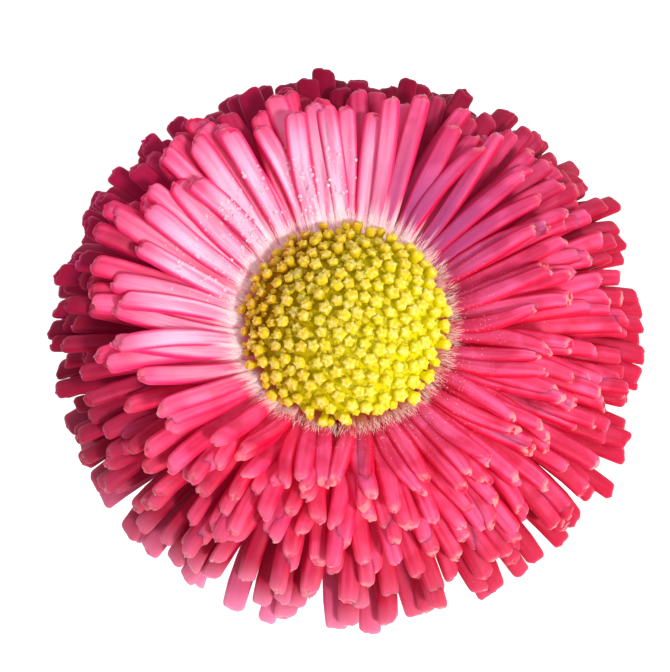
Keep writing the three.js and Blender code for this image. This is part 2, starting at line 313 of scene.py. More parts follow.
def linear(colour):
    """A linear colour with alpha from an sRGB hex value."""
    parts = [int(colour[k:k + 2], 16) / 255 for k in (1, 3, 5)]
    return [c / 12.92 if c <= 0.04045 else ((c + 0.055) / 1.055) ** 2.4 for c in parts] + [1]


def each(size):
    """The scale of a pattern whose cells are size millimetres across."""
    return 1 / (size * MM)


# What a node has where a call says nothing else: its settings, the inputs that a list fills, and its output.
USUAL = {
    "Attribute": ({}, (), "Fac"),
    "Bump": ({}, ("Height", "Strength", "Distance", "Normal"), 0),
    "MapRange": ({"interpolation_type": "SMOOTHSTEP"}, range(5), 0),
    "Math": ({"operation": "MULTIPLY", "use_clamp": True}, range(3), 0),
    "Mix": ({"data_type": "RGBA"}, (0, 6, 7), 2),
    "TexCoord": ({}, (), "Object"),
    "TexNoise": ({}, ("Vector", "Scale", "Detail", "Roughness"), 0),
}


def add_node(material, kind, inputs=(), output=None, **settings):
    """Adds a node with its settings, fills its inputs, and gives back one of its outputs.

    inputs is a list in the usual order, or a dict by name. Each is a number, a vector, an sRGB hex value, the
    output of another node, which is linked, or a tuple of outputs, which stands for their product.
    """
    usual_settings, order, usual_output = USUAL.get(kind, ({}, range(3), 0))
    tree = material.node_tree
    made = tree.nodes.new("ShaderNode" + kind)
    for key, value in (settings or usual_settings).items():
        setattr(made, key, value)
    for key, value in inputs.items() if isinstance(inputs, dict) else zip(order, inputs):
        if isinstance(value, tuple) and isinstance(value[0], bpy.types.NodeSocket):
            value = reduce(lambda a, b: add_node(material, "Math", [a, b]), value)
        if isinstance(value, bpy.types.NodeSocket):
            tree.links.new(value, made.inputs[key])
        else:
            made.inputs[key].default_value = linear(value) if isinstance(value, str) else value
    return made.outputs[usual_output if output is None else output] if made.outputs else made


def new_material(name):
    """An empty node material, and the function that adds a node to it."""
    material = bpy.data.materials.new(name)
    material.use_nodes = True
    material.node_tree.nodes.clear()
    return material, partial(add_node, material)


def ray_petal():
    """Fresh petal, a grown sheet of wet cells: softly glossy, ribbed lengthwise, and red light comes through
    it.

    The inner rays on the side away from the sun are painted pale pink on their faces and rose, painted light
    as if sunlit, and elsewhere carry painted glossy pink highlights. All are whitish at the foot and scuffed
    pale at the tip. The outer ones are painted deep crimson away from the sun, a painted shade, and rays on
    the sun's side a deeper red, painted light that comes through them. The light that comes through from
    other petals, which the closed shapes lose, is given back as a faint painted glow.
    """
    material, add = new_material("ray_petal")
    names = ("along", "across", "upper", "rank", "tone", "lip", "blush", "satin", "frost")
    along, across, upper, rank, tone, lip, blush, satin, frost = (
        add("Attribute", attribute_name=name) for name in names
    )
    place = add("TexCoord")

    # The veins are about 0.55 mm apart and run on for some 8 mm. The third axis gives each ray its own.
    strip = add("CombineXYZ", [across, along, tone])
    ray_size = (RAY_HALF_WIDTH[0] / 0.55, RAY_LENGTH[0] / 8, 37)
    strip = add("VectorMath", [strip, ray_size], operation="MULTIPLY")
    veins = add("TexNoise", [strip, 1, 3, 0.55])

    # Where colours lie: on the inner rays, down the middle of the upper face, or deep in the bloom's shade,
    # where a painted shade goes, weaker in the stretch whose ends are painted lit.
    off_middle = add("Math", [across], operation="ABSOLUTE")
    inner = add("MapRange", [rank, 0.34, 0.1])
    middle = add("Math", [add("MapRange", [off_middle, 0.95, 0.45]), add("MapRange", [upper, -0.1, 0.6])])
    outer = add("MapRange", [rank, 0.06, 0.36])
    away = add("MapRange", [blush, 0.9, 0.28, 0.04, 0.97])
    deep = add("Math", [(outer, away), add("MapRange", [frost, 0, 1, 1, 0.45], interpolation_type="LINEAR")])
    lively = add("Math", [1, deep], operation="SUBTRACT")

    # The red deepens in patches about 2.5 mm long. It is painted deeper as painted shade on the rays of the
    # mauve sheen, outwards and deep in the bloom's shade, and on the sun's side as painted light that comes
    # through. The most shaded rays get a painted mauve shade, and the inner rays of the pale side are painted
    # rose, as sunlit.
    mottle = add("TexNoise", [place, each(2.5), 2])
    mottle = add("MapRange", [mottle, 0.42, 0.62, 0, 0.7])
    body = add("Mix", [add("MapRange", [tone, -0.5, 0.5]), "#e00a36", "#f83268"])
    for share, over in (
        (mottle, "#c80838"),
        (add("Math", [satin, 0.5]), "#a00c46"),
        (add("MapRange", [rank, 0.35, 0.85, 0, 0.95]), "#a00228"),
        (add("MapRange", [blush, 0.6, 0.95, 0, 0.4]), "#cc062c"),
        (deep, "#7c0228"),
        ((deep, add("MapRange", [blush, 0.14, 0, 0, 0.5])), "#b81850"),
        ((add("MapRange", [blush, 0.5, 0.2]), lively, add("MapRange", [rank, 0.3, 0.08])), "#dc2c6c"),
    ):
        body = add("Mix", [share, body, over])

    # Painted highlights run glossy between the veins, weaker outwards and where the ends are painted lit.
    # Some faces get a painted mauve sheen of the sky, some are painted pale as sunlit, and outer rays with
    # lit ends get a painted lilac light.
    painted_highlight = (
        add("MapRange", [veins, 0.34, 0.66, 0.35, 0.95]), middle, lively,
        add("Math", [mottle, -0.8, 1], operation="MULTIPLY_ADD"),
        add("MapRange", [rank, 0.35, 0.85, 1, 0.18]),
        add("Math", [frost, -0.4, 1], operation="MULTIPLY_ADD"),
    )
    painted_mauve_sheen = (satin, middle, inner, add("MapRange", [along, 1, 0.3, 0.15, 0.9]))
    pale = (
        add("MapRange", [veins, 0.34, 0.6, 0.45, 1]), middle,
        add("MapRange", [rank, 0.22, 0.06]), add("MapRange", [blush, 0.42, 0.16]),
        add("MapRange", [along, 1, 0.62, 0.25, 1]),
        add("MapRange", [tone, -0.5, 0.5, 0.84, 1], interpolation_type="LINEAR"),
    )
    lilac = (add("MapRange", [rank, 0.86, 0.98, 0, 0.45]), frost)

    # The blunt ends are darker than the rest, and in the stretch with lit ends they are painted pale pink, as
    # lit.
    blunt_end = (
        add("MapRange", [along, 0.84, 1, 0, 0.8]), lively, add("MapRange", [rank, 0.5, 0.95, 0.35, 1]),
    )
    end_colour = add("Mix", [frost, "#c60e40", "#ffa0c4"])

    # The foot is whitish for 1 to 3 mm, further along some veins than others. On the sunny side the foot and
    # the ray next to it are painted dull, a painted shade.
    foot_range = [veins, 0.3, 0.7, 0.8 / RAY_LENGTH[0], 3 / RAY_LENGTH[0]]
    foot_end = add("MapRange", foot_range, interpolation_type="LINEAR")
    shorter = add("MapRange", [blush, 0.2, 0.8, 1.2, 0.55], interpolation_type="LINEAR")
    foot_end = add("Math", [foot_end, shorter], operation="MULTIPLY")
    foot = add("Math", [along, foot_end], operation="DIVIDE")
    foot = (add("MapRange", [foot, 1.3, 0.2]), inner)
    foot_colour = add("Mix", [add("MapRange", [blush, 0.4, 0.8]), "#fbdce4", "#d09090"])
    dull = (add("MapRange", [along, 0.42, 0, 0, 0.7]), add("MapRange", [blush, 0.5, 0.8]))

    # Scuffs at the tips are dry patches about 0.6 mm across. Dust and fine hairs near the feet show as pale
    # specks on the sunny side only, part real and part painted glints of sun. They are 0.05 mm, and drawn
    # 0.15 mm so that they show.
    scuffs = add("TexNoise", [place, each(0.6), 3, 0.6])
    scuffs = (add("MapRange", [scuffs, 0.43, 0.57, 0, 0.9]), lip, lively)
    dust_and_glints = add("TexNoise", [place, each(0.15), 1])
    dust_and_glints = (
        add("MapRange", [dust_and_glints, 0.66, 0.76]), add("MapRange", [along, 0.75, 0.1, 0.06, 1]),
        add("MapRange", [blush, 0.6, 0.9]),
    )
    colour = body
    for share, over in (
        (painted_highlight, "#fc70a6"), (painted_mauve_sheen, "#b0508c"), (pale, "#f9c2dc"), (lilac, "#fc8cc0"),
        (blunt_end, end_colour), (dull, "#a82040"), (foot, foot_colour),
        (scuffs, "#f09a98"), (dust_and_glints, "#f6d4cd"),
    ):
        colour = add("Mix", [share, colour, over])

    cells = add("TexNoise", [place, each(0.2), 2])
    normal = add("Bump", [veins, 0.3, 0.12 * MM])
    normal = add("Bump", [cells, 0.35, 0.03 * MM, normal])
    # The faint emission of the body colour is a painted glow, for the light that comes through from other
    # petals.
    add("OutputMaterial", [add("BsdfPrincipled", {
        "Base Color": colour, "Normal": normal, "Roughness": 0.5, "Specular IOR Level": 0.08,
        "Subsurface Weight": 0.8, "Subsurface Radius": (0.7, 0.35, 0.4), "Subsurface Scale": 1.0 * MM,
        "Emission Color": body, "Emission Strength": 0.12,
    })])
    return material


def disc_yellow():
    """Floret tissue with pollen, grown: waxy cream-yellow knobs, and tubes below painted lime with a painted
    glow towards the sun and golden in painted shade away from it.
    """
    material, add = new_material("disc_yellow")
    along, tone, lime = (add("Attribute", attribute_name=name) for name in ("along", "tone", "lime"))
    place = add("TexCoord")

    # The knobs' small lobes are about 0.3 mm across, and the pollen grains on them are drawn 0.12 mm.
    lobes = add("TexNoise", [place, each(0.3), 3])
    pollen = add("TexNoise", [place, each(0.12), 1])
    # Tubes and knobs are painted lime, with a painted glow, towards the sun and golden away from it: painted
    # light and shade.
    tube = add("Mix", [lime, "#a87a00", "#e2dc00"])
    knob = add("Mix", [add("MapRange", [tone, -0.5, 0.5]), "#c8981c", "#e2bd2a"])
    # The knobs' cream tops are partly pollen colour and partly a painted highlight.
    top = (add("MapRange", [lobes, 0.4, 0.66]), add("MapRange", [along, 0.85, 1]))
    knob = add("Mix", [lime, knob, "#e4d022"])
    knob = add("Mix", [top, knob, "#efdc8c"])
    grains = add("MapRange", [pollen, 0.62, 0.72, 0, 0.5])
    colour = add("Mix", [add("MapRange", [along, 0.45, 0.8]), tube, knob])
    colour = add("Mix", [grains, colour, "#c98d12"])
    normal = add("Bump", [lobes, 0.7, 0.12 * MM])
    normal = add("Bump", [pollen, 0.5, 0.05 * MM, normal])
    add("OutputMaterial", [add("BsdfPrincipled", {
        "Base Color": colour, "Normal": normal, "Roughness": 0.6, "Specular IOR Level": 0.08,
        "Subsurface Weight": 0.8, "Subsurface Radius": (0.8, 0.7, 0.3), "Subsurface Scale": 1.0 * MM,
        "Emission Color": add("Mix", [lime, "#4a3000", "#f2f000"]), "Emission Strength": 0.14,
    })])
    return material


def green_stalk():
    """Young stalk tissue, grown and hairy: soft yellow-green with fine ribs, flushed red low down."""
    material, add = new_material("green_stalk")
    place = add("TexCoord")
    flush = add("Attribute", attribute_name="flush")

    # The colour wanders over about 6 mm, and the ribs are drawn 0.4 mm apart and 20 mm long.
    patches = add("TexNoise", [place, each(6), 4])
    upright = add("VectorMath", [place, (each(0.4), each(0.4), each(20))], operation="MULTIPLY")
    ribs = add("TexNoise", [upright, 1, 2])
    colour = "#587f2a"
    for share, over in (
        (patches, "#86a84a"),
        (add("MapRange", [ribs, 0.5, 0.7, 0, 0.4]), "#a8bf6a"),
        (add("MapRange", [flush, 0, 1, 0, 0.45]), "#8c4a3c"),
    ):
        colour = add("Mix", [share, colour, over])
    normal = add("Bump", [ribs, 0.5, 0.08 * MM])
    add("OutputMaterial", [add("BsdfPrincipled", {
        "Base Color": colour, "Normal": normal, "Roughness": 0.52, "Specular IOR Level": 0.35,
        "Subsurface Weight": 0.25, "Subsurface Radius": (0.5, 0.9, 0.2), "Subsurface Scale": 0.7 * MM,
    })])
    return material


def leaf_green():
    """Fleshy leaf under a thin cuticle: soft highlights, sunken pale midrib and side veins, a paler back."""
    material, add = new_material("leaf_green")
    names = ("along", "across", "upper", "tone")
    along, across, upper, tone = (add("Attribute", attribute_name=name) for name in names)
    place = add("TexCoord")

    # The side veins leave the midrib every 3.2 mm and slant towards the tip.
    vein_turns = mix(LEAF_LENGTH, 0.5) / 3.2 * math.pi
    off_rib = add("Math", [across], operation="ABSOLUTE")
    rib = add("MapRange", [off_rib, 0.13, 0.03])
    slant = add("Math", [along, vein_turns], operation="MULTIPLY")
    slant = add("Math", [off_rib, -1.7 * math.pi, slant], operation="MULTIPLY_ADD")
    wave = add("Math", [add("Math", [slant], operation="SINE")], operation="ABSOLUTE")
    vein = (add("MapRange", [wave, 0.28, 0.02, 0, 0.6]), add("MapRange", [off_rib, 0.95, 0.2]))
    lines = add("Math", [rib, vein], operation="MAXIMUM")

    # The blade bulges between its veins over 3 mm, and its skin cells are drawn 0.5 mm across.
    bulges = add("TexNoise", [place, each(3), 4, 0.6])
    cells = add("TexNoise", [place, each(0.5), 2])
    colour = "#2f5c1b"
    for share, over in (
        (bulges, "#568a30"),
        (add("MapRange", [tone, -0.5, 0.5, 0, 0.45]), "#729e3f"),
        (add("MapRange", [cells, 0.55, 0.75, 0, 0.35]), "#7fa552"),
        (add("Math", [lines, 0.6]), "#a5c274"),
        (add("MapRange", [upper, 0.2, -0.2, 0, 0.6]), "#87a563"),
        (add("MapRange", [along, 0.4, 0.1, 0, 0.7]), "#9db56c"),
    ):
        colour = add("Mix", [share, colour, over])
    height = add("Math", [lines, -1.4, bulges], operation="MULTIPLY_ADD")
    normal = add("Bump", [height, 0.8, 0.3 * MM])
    normal = add("Bump", [cells, 0.4, 0.06 * MM, normal])
    add("OutputMaterial", [add("BsdfPrincipled", {
        "Base Color": colour, "Normal": normal, "Roughness": 0.48, "Specular IOR Level": 0.4,
        "Subsurface Weight": 0.2, "Subsurface Radius": (0.5, 0.9, 0.2), "Subsurface Scale": 0.5 * MM,
        "Coat Weight": 0.06, "Coat Roughness": 0.4,
    })])
    return material


def terracotta():
    """Low-fired earthenware, pressed in a turning mould: matt, porous, faintly ringed and chalky."""
    material, add = new_material("terracotta")
    place = add("TexCoord")
    height = add("SeparateXYZ", [place], "Z")

    # Firing patches 24 mm across, sand grains of 0.9 mm, pin holes of 0.7 mm, and rings 2.2 mm apart.
    patches = add("TexNoise", [place, each(24), 5, 0.6])
    grain = add("TexNoise", [place, each(0.9), 4, 0.7])
    pores = add("TexVoronoi", {"Vector": place, "Scale": each(2.4)})
    rings = add("VectorMath", [place, (each(150), each(150), each(2.2))], operation="MULTIPLY")
    rings = add("TexNoise", [rings, 1, 2])
    hole = add("MapRange", [pores, 0.16, 0.1])

    # Lime from the water blooms white near the foot and just under the rim.
    low = add("MapRange", [height, 0.4 * POT_HEIGHT * MM, 0.04 * POT_HEIGHT * MM])
    rim = add("MapRange", [height, 0.9 * POT_HEIGHT * MM, POT_HEIGHT * MM])
    lime = (
        add("Math", [low, rim], operation="MAXIMUM"),
        add("MapRange", [patches, 0.4, 0.64]), add("MapRange", [grain, 0.7, 0.35, 0.3, 0.8]),
    )
    colour = "#8f4527"
    for share, over in (
        (patches, "#b86c44"),
        (add("MapRange", [grain, 0.5, 0.72, 0, 0.45]), "#7a3a20"),
        (add("MapRange", [grain, 0.42, 0.26, 0, 0.4]), "#d29a76"),
        # The pin holes are painted darker, a painted shade in them.
        (add("Math", [hole, 0.6]), "#5c2a18"),
        (lime, "#d9c4b2"),
    ):
        colour = add("Mix", [share, colour, over])
    relief = add("Math", [rings, 1.5, grain], operation="MULTIPLY_ADD")
    relief = add("Math", [hole, -1, relief], operation="MULTIPLY_ADD")
    normal = add("Bump", [relief, 0.6, 0.25 * MM])
    roughness = add("MapRange", [patches, 0.3, 0.7, 0.8, 0.95], interpolation_type="LINEAR")
    add("OutputMaterial", [add("BsdfPrincipled", {
        "Base Color": colour, "Normal": normal, "Roughness": roughness, "Specular IOR Level": 0.2,
    })])
    return material


def potting_soil():
    """Milled peat, damp: nearly black crumbs with brown fibres."""
    material, add = new_material("potting_soil")
    place = add("TexCoord")
    tone = add("Attribute", attribute_name="tone")

    # Crumbs of 1.4 mm and fibres drawn 0.4 mm wide.
    crumbs = add("TexNoise", [place, each(1.4), 5, 0.7])
    fibres = add("TexNoise", [place, each(0.4), 4, 0.6])
    colour = "#1d120b"
    for share, over in (
        (crumbs, "#4a3220"),
        (add("MapRange", [tone, 0.1, 0.5, 0, 0.6]), "#6b4a30"),
        (add("MapRange", [fibres, 0.6, 0.75, 0, 0.4]), "#7d5c3e"),
    ):
        colour = add("Mix", [share, colour, over])
    normal = add("Bump", [crumbs, 0.9, 0.6 * MM])
    normal = add("Bump", [fibres, 0.6, 0.2 * MM, normal])
    add("OutputMaterial", [add("BsdfPrincipled", {
        "Base Color": colour, "Normal": normal, "Roughness": 0.92, "Specular IOR Level": 0.25,
    })])
    return material


def white_down():
    """Plant hairs, grown: thin, dry and silvery. They glow faintly, as light comes through real ones."""
    material, add = new_material("white_down")
    tone = add("Attribute", attribute_name="tone")
    colour = add("Mix", [add("MapRange", [tone, -0.5, 0.5]), "#f6e2d8", "#fdf6f0"])
    add("OutputMaterial", [add("BsdfPrincipled", {
        "Base Color": colour, "Roughness": 0.5, "Specular IOR Level": 0.3,
        "Subsurface Weight": 0.5, "Subsurface Radius": (0.8, 0.6, 0.5), "Subsurface Scale": 0.3 * MM,
        "Emission Color": colour, "Emission Strength": 0.35,
    })])
    return material


def dew_water():
    """Dew, water in beads: glossy, with a painted pale ring where it would bend the sky in, a painted
    reflection, and the petal's pink painted inside, for the petal seen through it.
    """
    material, add = new_material("dew_water")
    crown = add("Attribute", attribute_name="crown")
    colour = add("Mix", [add("MapRange", [crown, 0.35, 0.9]), "#ffe6f2", "#f8b4d6"])
    add("OutputMaterial", [add("BsdfPrincipled", {
        "Base Color": colour, "Roughness": 0.08, "IOR": 1.33, "Specular IOR Level": 0.7,
        "Subsurface Weight": 0.7, "Subsurface Radius": (1, 0.7, 0.8), "Subsurface Scale": 0.4 * MM,
        "Coat Weight": 0.8, "Coat Roughness": 0.03,
    })])
    return material


def perlite():
    """Perlite, a mineral popped by heat: chalk-white crumbs full of pores about 0.45 mm across."""
    material, add = new_material("perlite")
    pores = add("TexNoise", [add("TexCoord"), each(0.45), 4, 0.6])
    colour = add("Mix", [pores, "#b9b1a3", "#ece7dd"])
    normal = add("Bump", [pores, 0.8, 0.2 * MM])
    add("OutputMaterial", [add("BsdfPrincipled", {
        "Base Color": colour, "Normal": normal, "Roughness": 0.9, "Specular IOR Level": 0.3,
    })])
    return material


def section(place, side, face, half_width, half_height, angle, channel=0.0, squareness=0.8):
    """Points of flattened-tube sections.

    x = w |cos a|^q and y = h |sin a|^q with the signs of cos a and sin a, and the upper face sinks by
    channel h (1 - (x / w)^2)^2. place, side and face are (..., 1, 3), sizes (..., 1), and angle (corners,).
    """
    c, s = np.cos(angle), np.sin(angle)
    x = np.sign(c) * np.abs(c) ** squareness
    y = np.sign(s) * np.abs(s) ** squareness
    y = y - channel * (y > 0) * (1 - x ** 2) ** 2
    return place + combined((side, x * half_width), (face, y * half_height))


def ray_length(i, t, azimuth):
    """Each ray's length: it grows from layer to layer, and the ray's side of the bloom changes it."""
    low_down = turned_to(azimuth, SHORT_SIDE) ** 2
    at_top = turned_to(azimuth, TOP_SIDE) ** 3
    in_sun = np.sqrt(np.clip(2 * turned_to(azimuth, SUNNY_SIDE) - 1, 0, 1))
    length = mix(RAY_LENGTH, t * (1.45 - 0.45 * t)) * (1 + (0.2 - 0.15 * t) * jitter(i, 2))
    length *= 1 - 0.12 * low_down - (0.14 - 0.09 * t) * at_top + 0.03 * turned_to(azimuth, OPEN_SIDE)
    length *= 1 - 0.33 * in_sun * (1 - t) ** 1.5
    length *= 1 - 0.36 * lobe(azimuth, *STUBBY) * (1 - t)
    for side, spread, share in REACHES:
        length *= 1 + share * t * lobe(azimuth, side, spread)
    return length


def ray_width(i, t, azimuth):
    """Each ray's half width where it is widest, which its layer and its side of the bloom change."""
    low_down = turned_to(azimuth, SHORT_SIDE) ** 2
    at_top = turned_to(azimuth, TOP_SIDE) ** 3
    layer = (0.65 + 0.35 * smooth(0.05, 0.4, t)) * (1 - 0.8 * smooth(0.68, 0.95, t))
    width = mix(RAY_HALF_WIDTH, t) * (1 + 0.22 * jitter(i, 4))
    width *= 1 - 0.1 * low_down - 0.08 * (1 - turned_to(azimuth, PALE_SIDE))
    width *= 1 - 0.18 * turned_to(azimuth, OPEN_SIDE) ** 2 * (1 - 0.4 * t)
    width *= 1 - 0.3 * lobe(azimuth, *NARROW) * layer
    width *= 1 - 0.16 * at_top * (1 - t)
    return width * (1 + 0.22 * lobe(azimuth, *BROAD) * smooth(0.55, 0.9, t))


def ray_stations(length, openness, taper):
    """Each ray's stations: how far along it they lie, and their share of its full width and thickness.

    The last ones round off the tip. On an open ray they form a lip and turn back into its mouth instead. A
    ray with a taper of 1 is widest at its middle, and one with 0 near its tip. Also gives how many stations
    come before the last ones.
    """
    body = np.array([-0.17, 0.0, 0.12, 0.27, 0.44, 0.6, 0.74, 0.86])
    blunt = np.interp(body, [-0.2, 0.0, 0.2, 0.45, 0.8, 1.0], [0.6, 0.66, 0.78, 0.9, 1.0, 1.0])
    tapered = np.interp(body, [-0.2, 0.0, 0.2, 0.45, 0.65, 1.0], [0.58, 0.66, 0.85, 1.0, 0.97, 0.74])
    width = mix((per_ring(blunt), per_ring(tapered)), taper)
    closed_back = per_ring([0.75, 0.4, 0.18, 0.05, 0.0, 0.0])
    closed_width = per_ring([0.98, 0.93, 0.8, 0.6, 0.34, 0.08])
    open_back = per_ring([0.7, 0.3, 0.06, 0.0, 0.12, 0.5])
    open_width = per_ring([0.98, 0.97, 0.9, 0.76, 0.58, 0.3])
    back = mix((closed_back, open_back), openness) * mix((0.6, 1.0), taper)
    end = mix((closed_width, open_width), openness) * mix((1.0, 0.76), taper)
    along = np.concatenate([per_ring(body) * length, length - back], 1)
    return along, np.concatenate([width, end], 1), len(body)


def ray_florets(material):
    """The rays: ray i stands at i times the golden angle, and t = i / (RAYS - 1) runs outwards from 0 to 1.

    A ray is an arc in its own upright plane, and its last quarter nods by nod v^2, with v from 0 to 1. Its
    section rolls and bows a little. Its end is blunt, with small lobes that are waves of the station across
    the ray, and some ends are open mouths. No two rays are alike and they are most of what is seen, so each
    has the 14 stations of 12 corners that its curve, its width and its tip need.
    """
    i = np.arange(RAYS, dtype=float)[PER_COPY]
    t = i / (RAYS - 1)
    azimuth = i * GOLDEN_ANGLE
    azimuth += np.radians((10 - 6 * turned_to(azimuth, PALE_SIDE)) * (1 - 0.5 * t) * jitter(i, 3))
    blush = 1 - turned_to(azimuth, PALE_SIDE)
    opening = OPENING * turned_to(azimuth, OPEN_SIDE) * (1 - t)
    rise0 = np.radians(mix(RAY_RISE_AT_BASE, t ** 0.85) + 2 * jitter(i, 1) - opening)
    rise1 = np.radians(mix(RAY_RISE_AT_TIP, t ** 0.9) + (13 - 9 * t) * jitter(i, 1) - opening)
    length = ray_length(i, t, azimuth)
    openness = smooth(0.3, 0.48, jitter(i, 13)) * (0.3 + 0.5 * blush)
    along, share, body = ray_stations(length, openness, blush * (1 - 0.75 * t))

    angle = ring(RAY_CORNERS)
    upward = np.sin(angle)
    sideways = np.cos(angle)
    near_tip = smooth(0.75, 0.97, along / length)
    slant = 0.1 + 0.25 * openness + 0.2 * jitter(i, 9)
    lobes = 0.06 * (1 + jitter(i, 10)) * np.cos(2.6 * math.pi * (sideways - 0.6 * jitter(i, 14)))
    s = along - near_tip * (slant * upward + lobes + 0.35 * jitter(i, 12) * sideways)

    rise, further, higher = arc(rise0, rise1, length, s)
    u = s / length
    v = np.clip((u - 0.75) / 0.25, 0, 1.2)
    nod = np.radians(14 + 22 * blush + 30 * jitter(i, 20))
    fall = nod * length * 0.25 * v ** 3 / 3
    bow = 0.5 * jitter(i, 5) * np.sin(math.pi * np.clip(u, 0, 1)) + 2.5 * jitter(i, 6) * u ** 2
    out, side = compass(azimuth)
    place = combined(
        (out, mix(RAY_BASE_RADIUS, t) + further), (UP, mix(RAY_BASE_HEIGHT, t) + higher),
        (side, bow), (facing(out, rise), -fall),
    )
    face = facing(out, rise - nod * v ** 2)
    roll = np.radians(34 * jitter(i, 8)) * np.clip(u, 0, 1)
    turned_side = combined((side, np.cos(roll)), (face, np.sin(roll)))
    turned_face = combined((face, np.cos(roll)), (side, -np.sin(roll)))

    half_width = ray_width(i, t, azimuth) * share
    past_body = per_ring(range(share.shape[1])) > body
    half_height = mix(RAY_HALF_THICKNESS, t) * (0.25 + 0.75 * share) * np.where(past_body, share, 1)
    channel = (0.6 * (1 - t) * (1 - 0.7 * blush) + 0.05) * (1 - smooth(0.85, 1, u))
    points = on_head(section(place, turned_side, turned_face, half_width, half_height, angle, channel))
    lip = per_ring([0] * (body + 1) + [0.05, 0.5, 0.95, 1, 1])
    # The last three values are sides of the bloom by which the petal paints light and shade: painted sunlit
    # pale faces, painted shade and a deeper red by the sun's side, a painted mauve sheen with shade, and
    # painted lit ends.
    values = {
        "along": np.clip(u, 0, 1), "across": sideways, "upper": upward, "rank": t, "tone": jitter(i, 15),
        "lip": lip * (0.1 + 0.9 * blush), "blush": blush,
        "satin": lobe(azimuth, *SHEEN_AND_SHADE_SIDE), "frost": lobe(azimuth, *LIT_END_SIDE),
    }
    add_tubes("ray_petals", points, values, material, ["ray_florets"])
    return points, azimuth.ravel()


def dome_height(r):
    """The disc's height over its rim at radius r, a spherical cap."""
    return np.sqrt(DOME_SPHERE ** 2 - r ** 2) - (DOME_SPHERE - DISC_RISE)


def sunny_share(r, azimuth):
    """How far a place on the disc lies towards the sun: from -1 to 1 across it."""
    return r / DISC_RADIUS * np.cos(azimuth - math.radians(SUN_TOWARDS))


def disc_florets(material):
    """The disc's florets: floret i is at r = R sqrt((i + 0.5) / n), i golden angles on.

    Each stands square to the dome, a narrow tube that swells into a knob of five lobes: its radius swings by
    cos 5a, and a dimple closes it. Those at the third parts of i are still low and closed.
    """
    i = (np.arange(3 * DISC_FLORETS) / 3)[PER_COPY]
    low = i % 1 > 0.1
    loose = np.where(low, 0.7, 0.32)
    r = (DISC_RADIUS - 0.15) * np.sqrt((i + 0.5) / DISC_FLORETS) + loose * jitter(i, 47)
    azimuth = i * GOLDEN_ANGLE + loose * jitter(i, 48) / np.maximum(r, 1)
    r = np.clip(np.abs(r), 0, DISC_RADIUS)
    sunny = sunny_share(r, azimuth)
    a = ring(2 * FLORET_LOBES)
    height = per_ring([-0.5, 0.45, 0.72, 0.93, 1.0, 0.96])
    radius = per_ring([0.66, 0.76, 1.0, 0.86, 0.5, 0.12])
    lobes = per_ring([0.0, 0.02, 0.1, 0.15, 0.1, 0.0])
    number = 400 * i + 20 * per_ring(range(height.size)) + np.arange(a.size)
    open_floret = 1 - smooth(0.78, 0.94, r / DISC_RADIUS)
    swing = lobes * (0.75 + 0.25 * open_floret) * np.cos(FLORET_LOBES * a)
    size = FLORET_RADIUS * (1 + 0.12 * sunny + 0.3 * jitter(i, 17)) * np.where(low, 0.72, 1)
    knob = size * radius * (1 + 0.26 * (height > 0.5) * open_floret * jitter(number, 42)) * (1 + swing)
    stand = FLORET_STAND * (1 + 0.5 * jitter(i, 7)) * np.where(low, 0.45, 1)

    lean = 0.9 * np.arcsin(r / DOME_SPHERE) + np.radians(24 * jitter(i, 16))
    turned = a + 6 * jitter(i, 18)
    out, side = compass(azimuth)
    points = combined(
        (out, r), (UP, dome_height(r) - 0.15),
        (heading(out, -lean), knob * np.cos(turned)), (side, knob * np.sin(turned)),
        (facing(out, -lean), (height + 0.35 * swing) * stand),
    )
    # lime grows towards the sun, and the material paints by it: lime with a painted glow on the sunny side,
    # golden painted shade away from it.
    values = {
        "along": height * np.where(low, 0.9, 1), "tone": jitter(i, 19),
        "lime": np.clip(0.45 + 0.55 * sunny, 0, 1),
    }
    add_tubes("disc_knobs", on_head(points), values, material, ["disc_florets"])


def disc_dome(material):
    """The receptacle's dome between the florets, a spherical cap under their heads."""
    cap = [(r, dome_height(r) + 0.15) for r in np.linspace(DISC_RADIUS - 0.5, 0.02, 16)]
    points = lathe([(0.02, -0.9), (DISC_RADIUS - 0.6, -0.9)] + cap, corners=48)
    x, y = points[..., 0], points[..., 1]
    sunny = sunny_share(np.hypot(x, y), np.arctan2(y, x))
    # lime, as for the florets, carries the painted sunlit lime and the painted golden shade.
    values = {"along": 0.3, "tone": 0.0, "lime": np.clip(0.4 + 0.6 * sunny, 0, 1)}
    add_tubes("disc_dome", on_head(points), values, material)


def hairs(name, roots, directions, material, length, radius):
    """Fine hairs: three-sided spikes from roots along directions, which droop a little at their tips.

    They carry what the stalks', the leaves' and the down's materials read.
    """
    ahead = unit(directions)
    helper = np.where(np.abs(ahead[:, 2:]) > 0.8, [[1, 0, 0]], [[0, 0, 1]])
    side = unit(np.cross(ahead, helper))
    face = np.cross(ahead, side)
    a = ring(3)
    size = per_ring([1.0, 0.65, 0.12]) * radius
    length = length[PER_COPY]
    points = roots[PER_COPY] + combined(
        (ahead[PER_COPY], per_ring([-0.1, 0.5, 1.0]) * length), (UP, per_ring([0.0, -0.02, -0.12]) * length),
        (side[PER_COPY], size * np.cos(a)), (face[PER_COPY], size * np.sin(a)),
    )
    tone = jitter(np.arange(len(roots), dtype=float), 40)[PER_COPY]
    values = {"flush": 0.0, "along": 0.5, "across": 0.0, "upper": 1.0, "tone": tone}
    add_tubes(name, points, values, material)


